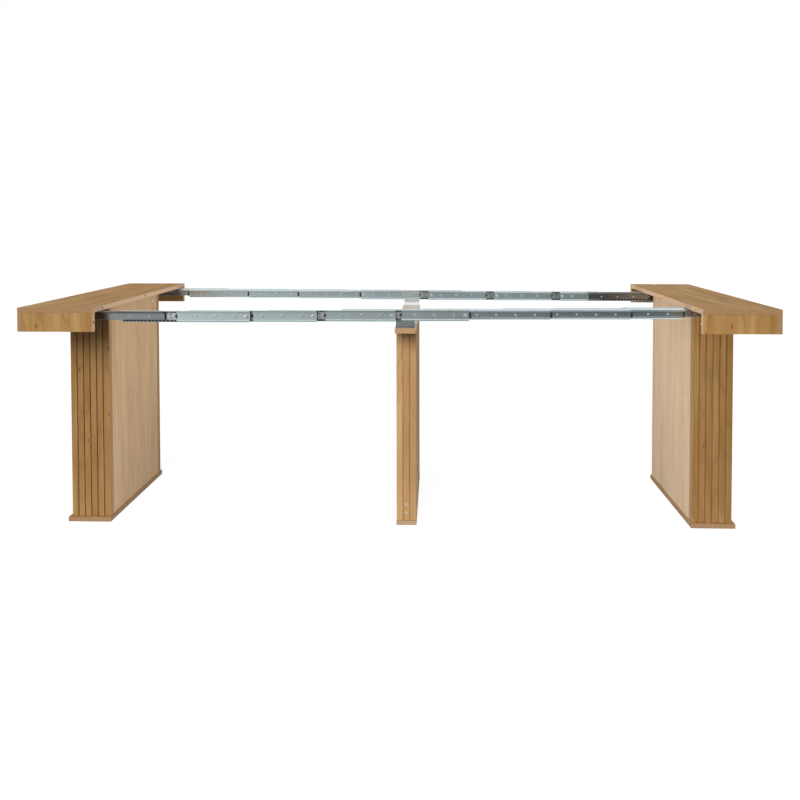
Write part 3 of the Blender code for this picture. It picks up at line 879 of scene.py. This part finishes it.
def slide_place(node, row, faces_right, datum=0.0):
    """Matrix that lays a slide piece on its node.

    The rear slide is turned over, and the right half of a slide end for end.
    datum is where the piece's y = 0 lies, from 0 to 1 of the node's depth.
    """
    low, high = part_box(node)
    over = Matrix.Rotation(math.pi if row == "rear" else 0.0, 4, "X")
    turn = Matrix.Rotation(math.pi if faces_right else 0.0, 4, "Z") @ over
    share = datum if (turn @ Vector((0, 1, 0))).y > 0 else 1.0 - datum
    spot = Vector(((low.x + high.x) / 2, low.y + share * (high.y - low.y), (low.z + high.z) / 2))
    return Matrix.Translation(spot) @ turn


def body_of_node(node):
    return frame["nodes"][node]["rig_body"]


def stand_in(node, parts, place):
    """Put pieces where a node is; the first of them replaces it.

    parts is {ending of the piece's name: (mesh, finish)}.
    """
    for ending, (mesh, finish) in parts.items():
        piece(node + ending, mesh, finish, body_of_node(node), place)
    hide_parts(node)


def build_slides(rivet_finish):
    """Draw the running and middle members and the cages of both slides again."""
    running_zinc = zinc("zinc_running", ZINC_TONES, CHANNEL_DEPTH + JOINT_GAP, ZINC_METAL)
    middle_zinc = zinc("zinc_middle", ZINC_TONES, metal=ZINC_METAL)
    cage_steel = bright_metal("cage_steel", CAGE_TONES, CAGE_ROUGHNESS)
    tail_zinc = bright_metal("rivet_tails", ZINC_TONES, TAIL_ROUGHNESS)
    # This black is real plastic on the retainer bars, and painted shade on the cage sheets and buffers
    black = black_plastic_and_shade("black_plastic_and_shade")
    channel = rolled_channel()
    head = dome(RIVET_RADIUS, RIVET_DOME)
    tail = rivet_tail()
    hollow = CHANNEL_DEPTH + SHEET + JOINT_GAP
    running = {
        "_rolled": (running_member(channel), running_zinc),
        "_rivets": (rivet_ends("rivet_heads", head, hollow, (1,)), rivet_finish),
        "_tails": (rivet_ends("rivet_tails", tail, SHEET - CHANNEL_DEPTH, (-1,)), tail_zinc),
        # Black buffer at the outer end: partly a bumper, partly painted shade at the joint
        "_buffer_and_shade": (end_buffers_and_shade((-1,), CHANNEL_DEPTH, "running_buffer_and_shade"), black),
    }
    middle = {
        "_rolled": (middle_member(channel), middle_zinc),
        "_tails": (rivet_ends("rivet_tails", tail, SHEET + JOINT_GAP / 2, (-1, 1)), tail_zinc),
        # Black buffers at both ends: partly bumpers, partly painted shade at the joints
        "_buffers_and_shade": (end_buffers_and_shade((-1, 1), 0.0, "middle_buffers_and_shade"), black),
    }
    cage = {
        "_pressed": (ball_cage(), cage_steel),
        # Black bars along the ball rows, and the sheet of painted shade behind the fishtail
        "_retainers": (ball_retainers(), black),
    }
    for row in ("front", "rear"):
        for n in range(2, MEMBERS):
            node = f"{row}_slide_member_{n}"
            if n == MIDDLE_MEMBER:
                stand_in(node, middle, slide_place(node, row, False, datum=0.5))
            else:
                stand_in(node, running, slide_place(node, row, n > MIDDLE_MEMBER))
        for n in range(1, MEMBERS):
            node = f"{row}_ball_cage_{n}"
            stand_in(node, cage, slide_place(node, row, n >= MIDDLE_MEMBER))


def runner_rivets(name, middle, back, top, side, way):
    """Rivets through a fixed member's web and screws up through its angle.

    middle is the member's middle in X, back its web's face, and top the upper face of its angle.
    side is the way to the angle along X, and way the one that the web's face looks along Y.
    """
    head = dome(RIVET_RADIUS * END_RIVET_SHARE, RIVET_DOME * END_RIVET_SHARE)
    screw = dome(SCREW_RADIUS, SCREW_PROUD)
    form = bmesh.new()
    for x in rivet_row(middle):
        add_turned(form, head, pointing((x, back, RAIL_MIDDLE), (0, way, 0)))
        add_turned(form, head, pointing((x, back - way * SHEET, RAIL_MIDDLE), (0, -way, 0)))
    run = MEMBER_LENGTH / 2 - ANGLE_SETBACK
    for share in ANGLE_SCREWS:
        x = middle + side * (ANGLE_SETBACK + share * run)
        spot = (x, back + way * ANGLE_FLANGE / 2, top - SHEET)
        add_turned(form, screw, pointing(spot, (0, 0, -1)))
    return mesh_from(form, name)


def runner_strip(name, way):
    """The folded strip above a fixed member: an upright, a ledge to one side and a hem."""
    rise = INNER_HALF + STRIP_RISE
    ledge = way * STRIP_LEDGE
    corners = [(0.0, INNER_HALF + JOINT_GAP), (0.0, rise), (ledge, rise), (ledge, STRIP_CREST)]
    form = bmesh.new()
    add_swept(form, bent_strip(corners, [STRIP_BEND] * 2, SHEET), STRIP_LENGTH)
    return mesh_from(form, name)


def build_runner_trim(rivet_finish, strip_finish):
    """Rivets and screws of the four fixed members, and the folded strip above each.

    strip_finish has a finish for each way that a ledge can point; the paler one, for a way of 1, is a
    lit copy of the other: painted light.
    """
    for row in ("front", "rear"):
        for n, side in ((1, -1), (MEMBERS, 1)):
            node = f"{row}_slide_member_{n}"
            body = body_of_node(node)
            low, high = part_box(node)
            way = 1 if (row == "front") == (side > 0) else -1
            back = high.y - ANGLE_FLANGE if way > 0 else low.y + ANGLE_FLANGE
            middle = (low.x + high.x) / 2
            name = node + "_rivets"
            rivets = runner_rivets(name, middle, back, high.z, side, way)
            piece(name, rivets, rivet_finish, body)
            name = node + "_strip"
            outer = middle + side * (ANGLE_SETBACK - JOINT_GAP)
            spot = (outer - side * STRIP_LENGTH / 2, back - way * SHEET / 2, RAIL_MIDDLE)
            place = Matrix.Translation(spot)
            piece(name, runner_strip(name, way), strip_finish[way], body, place)


# Fasteners


def turned_piece(name, profile, spots, way, finish, body):
    """A piece of like turned shapes that point one way from their spots."""
    form = bmesh.new()
    for spot in spots:
        add_turned(form, profile, pointing(spot, way))
    piece(name, mesh_from(form, name), finish, body)


def pin(proud):
    """Profile of a round-nosed pin that stands proud of a face."""
    angles = [math.pi / 2 * n / DOME_STEPS for n in range(1, DOME_STEPS)]
    nose = [(PIN_RADIUS * math.cos(a), proud - PIN_NOSE * (1 - math.sin(a))) for a in angles]
    return [(PIN_RADIUS, -PIN_BURIED), (PIN_RADIUS, proud - PIN_NOSE)] + nose + [(0.0, proud)]


def build_pins():
    """Brass pins in the right top's inner edge, and a short beech dowel in each right apron's."""
    low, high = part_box("right_top_panel")
    level = (low.z + high.z) / 2
    reach = (high.y - low.y) / 2 - PIN_END_DISTANCE
    tops = [(low.x, y, level) for y in (-reach, 0.0, reach)]
    aprons = []
    for node in ("right_front_apron", "right_rear_apron"):
        apron_low, apron_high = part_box(node)
        middle = (apron_low + apron_high) / 2
        aprons.append((apron_low.x, middle.y, middle.z))
    brass = bright_metal("brass", BRASS_TONES, BRASS_ROUGHNESS)
    beech = wood("beech", "X", BEECH_TONES, seed=3.3)
    out = (-1, 0, 0)
    turned_piece("alignment_pins", pin(PIN_PROUD), tops, out, brass, "right_end")
    turned_piece("apron_dowels", pin(DOWEL_PROUD), aprons, out, beech, "right_end")


def build_leg_screws(finish, cap_finish):
    """Screws high on the left leg's inner board, and two caps low on the centre leg."""
    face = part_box("left_leg_inner_board")[1].x
    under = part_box("left_top_panel")[0].z
    depths = (-LEG_SCREW_DEPTH, LEG_SCREW_DEPTH)
    spots = [(face, y, under - drop) for y in depths for drop in LEG_SCREW_DROPS]
    head = dome(SCREW_RADIUS, SCREW_PROUD)
    turned_piece("left_leg_screws", head, spots, (1, 0, 0), finish, "left_end")
    low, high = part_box("centre_leg_front_panel")
    spots = [((low.x + high.x) / 2, low.y, height) for height in CAP_HEIGHTS]
    cap = dome(CAP_RADIUS, CAP_PROUD)
    turned_piece("centre_leg_caps", cap, spots, (0, -1, 0), cap_finish, "centre")


def build_bracket_ribs(finish):
    """Two stiffening ribs along the outer face of each bracket."""
    angles = [math.pi * (n / BEND_STEPS - 0.5) for n in range(BEND_STEPS + 1)]
    arc = [(-RIB_RADIUS * math.cos(angle), RIB_RADIUS * math.sin(angle)) for angle in angles]
    for row, turn in (("front", 0.0), ("rear", math.pi)):
        low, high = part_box(f"centre_{row}_bracket")
        form = bmesh.new()
        for drop in RIB_DROPS:
            level = high.z - drop * (high.z - low.z)
            add_swept(form, [(y, level + z) for y, z in arc], RIB_LENGTH)
        spot = ((low.x + high.x) / 2, low.y if row == "front" else high.y, 0.0)
        place = Matrix.Translation(spot) @ Matrix.Rotation(turn, 4, "Z")
        name = f"centre_{row}_bracket_ribs"
        piece(name, mesh_from(form, name), finish[row], "centre", place)


# Nodes that keep their shapes


def soften(item):
    """Round a node's edges a little."""
    weld = item.modifiers.new("weld", "WELD")
    weld.merge_threshold = WELD_DISTANCE
    bevel = item.modifiers.new("edge", "BEVEL")
    bevel.width = EDGE_SOFTENING
    bevel.segments = EDGE_STEPS
    bevel.limit_method = "ANGLE"
    bevel.angle_limit = EDGE_ANGLE
    bevel.harden_normals = True


def paint(material, *nodes):
    for node in nodes:
        mesh = frame["nodes"][node].data
        mesh.materials.clear()
        mesh.materials.append(material)


def finish_half_tops():
    """Finish the tops, aprons and feet of the two halves."""
    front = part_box("left_front_apron")[0].y
    knots = [(x, front, z) for x, z in APRON_KNOTS]
    aprons = wood("oak_aprons", "Z", OAK_TONES, face="Y", knots=knots, seed=2.1)
    boards = {
        "top_panel": wood("oak_tops", "Y", TOP_TONES, face="Z", seed=1.3),
        "front_apron": aprons,
        "rear_apron": aprons,
        "end_apron": wood("oak_end_aprons", "Z", OAK_TONES, face="X", seed=2.7),
        "leg_foot": wood("oak_feet", "Y", OAK_TONES, face="Z", band=FOOT_BAND, seed=4.2),
    }
    for side in ("left", "right"):
        for board, finish in boards.items():
            paint(finish, f"{side}_{board}")


def finish_slab_leg(side):
    """Finish a slab leg's inner board, fluted panels and outer board."""
    inner = wood(side + "_inner_board", "Z", BOARD_TONES[side], seed=BOARD_SEEDS[side])
    paint(inner, side + "_leg_inner_board")
    low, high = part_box(side + "_leg_front_panel")
    front_knots = [(x, low.y, z) for x, z in LEG_KNOTS[side]]
    for row, band, knots in (("front", FRONT_BAND, front_knots), ("rear", REAR_BANDS[side], ())):
        panel = wood(
            f"{side}_{row}_panel",
            "Z",
            SLAT_TONES[side],
            slats=("X", low.x),
            strips=("X", (low.x + high.x) / 2, (high.x - low.x) / 2 - PANEL_BAND),
            band=band,
            knots=knots,
            seed=PANEL_SEEDS[side],
        )
        paint(panel, f"{side}_leg_{row}_panel")
    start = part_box(side + "_leg_outer_board")[0].y
    outer = wood(side + "_outer", "Z", SLAT_TONES[side], slats=("Y", start), seed=OUTER_SEEDS[side])
    paint(outer, side + "_leg_outer_board")


def finish_centre_leg():
    """Finish the centre leg's boards, its foot and the plate on its head."""
    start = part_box("centre_leg_front_panel")[0].x
    panels = wood("centre_panels", "Z", CENTRE_TONES, slats=("X", start), seed=41.0)
    sides = wood("centre_side_boards", "Z", OAK_TONES, seed=6.6)
    foot = wood("oak_centre_foot", "Y", OAK_TONES, face="Z", band=CENTRE_FOOT_BAND, seed=4.9)
    low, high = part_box("centre_top_plate")
    strips = ("Y", (high.y + low.y) / 2, (high.y - low.y) / 2 - EDGE_SOFTENING)
    plate = wood("centre_plate", "Y", CREAM_TONES, strips=strips, band=PLATE_BAND, seed=7.9)
    paint(panels, "centre_leg_front_panel", "centre_leg_rear_panel")
    paint(sides, "centre_leg_left_board", "centre_leg_right_board")
    paint(foot, "centre_leg_foot")
    paint(plate, "centre_top_plate")


def finish_steel(bracket_finish):
    """Finish the brackets and the four fixed slide members."""
    for row in ("front", "rear"):
        paint(bracket_finish[row], f"centre_{row}_bracket")
    plain = zinc("zinc_runners", RUNNER_TONES)
    lit = zinc("zinc_lit_runner", LIT_RUNNER_TONES, metal=LIT_RUNNER_METAL)
    paint(plain, "front_slide_member_1", "rear_slide_member_9")
    paint(lit, "rear_slide_member_1", "front_slide_member_9")


# Stage


def seen_directly(tree):
    """1 for camera, glossy and transmission rays, 0 for light bouncing about."""
    path = tree.nodes.new("ShaderNodeLightPath")
    share = path.outputs["Is Camera Ray"]
    for name in ("Is Glossy Ray", "Is Transmission Ray"):
        most = tree.nodes.new("ShaderNodeMath")
        most.operation = "MAXIMUM"
        tree.links.new(share, most.inputs[0])
        tree.links.new(path.outputs[name], most.inputs[1])
        share = most.outputs[0]
    return share


def build_world():
    """A white surround that gives little light itself."""
    world = bpy.data.worlds.new("studio")
    bpy.context.scene.world = world
    world.use_nodes = True
    tree = world.node_tree
    level = tree.nodes.new("ShaderNodeMapRange")
    level.inputs["To Min"].default_value = WORLD_FILL
    tree.links.new(seen_directly(tree), level.inputs["Value"])
    sky = tree.nodes["Background"]
    sky.inputs["Color"].default_value = colour(WHITE)
    tree.links.new(level.outputs[0], sky.inputs["Strength"])


def lying(near, far, level):
    """Corners of a level sheet between two opposite (x, y) corners."""
    return [(x, y, level) for x, y in (near, (far[0], near[1]), far, (near[0], far[1]))]


def standing(start, end):
    """Corners of a card that stands on the line between two (x, y) points."""
    return [(*start, CARD_LIFT), (*end, CARD_LIFT), (*end, CARD_TOP), (*start, CARD_TOP)]


def flat_sheet(name, *sheets):
    """A stage object of flat sheets, each given by its corners."""
    form = bmesh.new()
    for corners in sheets:
        form.faces.new([form.verts.new(corner) for corner in corners])
    mesh = bpy.data.meshes.new(name)
    form.to_mesh(mesh)
    form.free()
    item = add_object(name, mesh)
    return item


def build_floor():
    """A pale floor that takes the table's shadow and throws little light back."""
    graph = Graph("floor")
    glow = graph.node("Emission", {"Strength": FLOOR_GLOW})
    dim = graph.node("BsdfDiffuse", {"Color": colour(FLOOR_SHADE)})
    shown = graph.node("AddShader", {0: glow, 1: dim})
    plain = graph.node("BsdfDiffuse", {"Color": colour(FLOOR_BOUNCE)})
    either = graph.node("MixShader", {0: seen_directly(graph.tree), 1: plain, 2: shown})
    half = FLOOR_SIZE / 2
    floor = flat_sheet("floor", lying((-half, -half), (half, half), 0.0))
    floor.data.materials.append(graph.show(either))


def hang_card(card, graph, level):
    """Give a card its brightness and hide it from all but glossy rays."""
    card.data.materials.append(graph.show(graph.node("Emission", {"Strength": level})))
    card.visible_camera = False
    card.visible_diffuse = False
    card.visible_transmission = False
    card.visible_shadow = False


def build_front_card():
    """A grey card before the table, folded along the floor."""
    upright = standing((-CARD_HALF, CARD_Y), (CARD_HALF, CARD_Y))
    folded = lying((-CARD_HALF, CARD_Y), (CARD_HALF, CARD_FOLD), CARD_LIFT)
    near = lying((-CARD_HALF, CARD_FOLD), (CARD_PART, CARD_NEAR), CARD_LIFT)
    graph = Graph("grey_card")
    level = graph.remap(graph.axis["X"], CARD_LEFT[0], CARD_RIGHT[0], CARD_LEFT[1], CARD_RIGHT[1])
    fade = graph.remap(graph.axis["Y"], CARD_FOLD, CARD_NEAR, 1.0, CARD_FADE)
    card = flat_sheet("grey_card", upright, folded, near)
    hang_card(card, graph, graph.maths("MULTIPLY", level, fade))


def build_plain_card(name, start, end, level):
    """A card of one brightness that stands between two (x, y) points."""
    hang_card(flat_sheet(name, standing(start, end)), Graph(name), level)


def sun_lamp(name, way, power, softness, glossy):
    """A broad, even lamp; way points from the table to it, and glossy lets it show in the metal."""
    light = bpy.data.lights.new(name, "SUN")
    light.energy = power
    light.angle = math.radians(softness)
    item = add_object(name, light)
    item.rotation_euler = Vector(way).to_track_quat("Z", "Y").to_euler()
    item.visible_glossy = glossy


def panel_lamp(name, spot, way, power, size):
    """A soft lamp of a size (width, height) that shines along a direction and can't be seen."""
    light = bpy.data.lights.new(name, "AREA")
    light.energy = power
    light.shape = "RECTANGLE"
    light.size, light.size_y = size
    item = add_object(name, light)
    item.location = spot
    item.rotation_euler = Vector(way).to_track_quat("-Z", "Y").to_euler()
    item.visible_camera = False
    item.visible_glossy = False
    return light


def build_lamps():
    """Suns from four sides, a panel in each bay, one low in front, and one up the right leg."""
    for name, settings in SUN_LAMPS.items():
        sun_lamp(name, *settings)
    low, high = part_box("centre_leg_foot")
    left_bay = (low.x - BAY_GAP, 0.0, BAY_HEIGHT)
    right_bay = (high.x + BAY_GAP, 0.0, BAY_HEIGHT)
    panel_lamp("left_bay", left_bay, (-1, 0, 0), LEFT_BAY_POWER, BAY_SIZE)
    panel_lamp("right_bay", right_bay, (1, 0, 0), RIGHT_BAY_POWER, BAY_SIZE)
    low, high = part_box("right_leg_front_panel")
    toe = panel_lamp("toe", (0.0, low.y - TOE_GAP, TOE_HEIGHT), (0, 1, 0), TOE_POWER, TOE_SIZE)
    toe.color = TOE_COLOUR
    under = ((low.x + high.x) / 2, low.y - UP_GAP, UP_HEIGHT)
    up = panel_lamp("up", under, (0, math.cos(UP_RISE), math.sin(UP_RISE)), UP_POWER, UP_SIZE)
    up.spread = UP_SPREAD


def build_camera():
    """The camera that was fitted to the photograph."""
    data = bpy.data.cameras.new("camera")
    data.sensor_width = SENSOR
    data.lens = FOCAL_PIXELS / FRAME_PIXELS * SENSOR
    data.shift_x = 0.5 - OPTICAL_CENTRE[0] / FRAME_PIXELS
    data.shift_y = OPTICAL_CENTRE[1] / FRAME_PIXELS - 0.5
    yaw = Matrix.Rotation(CAMERA_YAW, 4, "Z")
    pitch = Matrix.Rotation(math.pi / 2 - CAMERA_PITCH, 4, "X")
    roll = Matrix.Rotation(-CAMERA_ROLL, 4, "Z")
    item = add_object("camera", data)
    item.matrix_world = Matrix.Translation(CAMERA_PLACE) @ yaw @ pitch @ roll
    bpy.context.scene.camera = item


screw_zinc = bright_metal("screw_zinc", SCREW_TONES, SCREW_ROUGHNESS)
cap_zinc = zinc("cap_zinc", CAP_TONES, metal=SHADED_METAL)
# The strips that point one way get a paler, lit copy of the finish: painted light
strip_zinc = {
    -1: zinc("zinc_strips", STRIP_TONES, metal=SHADED_METAL),
    1: zinc("lit_strips", LIT_STRIP_TONES, metal=SHADED_METAL),
}
# The rear bracket gets a paler, lit copy of the front's finish: painted light
bracket_zinc = {
    "front": zinc("zinc_bracket", BRACKET_TONES),
    "rear": zinc("lit_bracket", LIT_BRACKET_TONES, metal=SHADED_METAL),
}
build_slides(screw_zinc)
build_runner_trim(screw_zinc, strip_zinc)
build_pins()
build_leg_screws(screw_zinc, cap_zinc)
build_bracket_ribs(bracket_zinc)
finish_half_tops()
finish_slab_leg("left")
finish_slab_leg("right")
finish_centre_leg()
finish_steel(bracket_zinc)
for item in frame["nodes"].values():
    if not item.hide_render:
        soften(item)
build_world()
build_floor()
build_front_card()
build_plain_card("side_card", (SIDE_CARD_X, CARD_Y), (SIDE_CARD_X, BACK_CARD_Y), SIDE_CARD_LEVEL)
build_plain_card("back_card", (-CARD_HALF, BACK_CARD_Y), (CARD_HALF, BACK_CARD_Y), BACK_CARD_LEVEL)
build_lamps()
build_camera()
bpy.context.scene.view_settings.view_transform = "Standard"
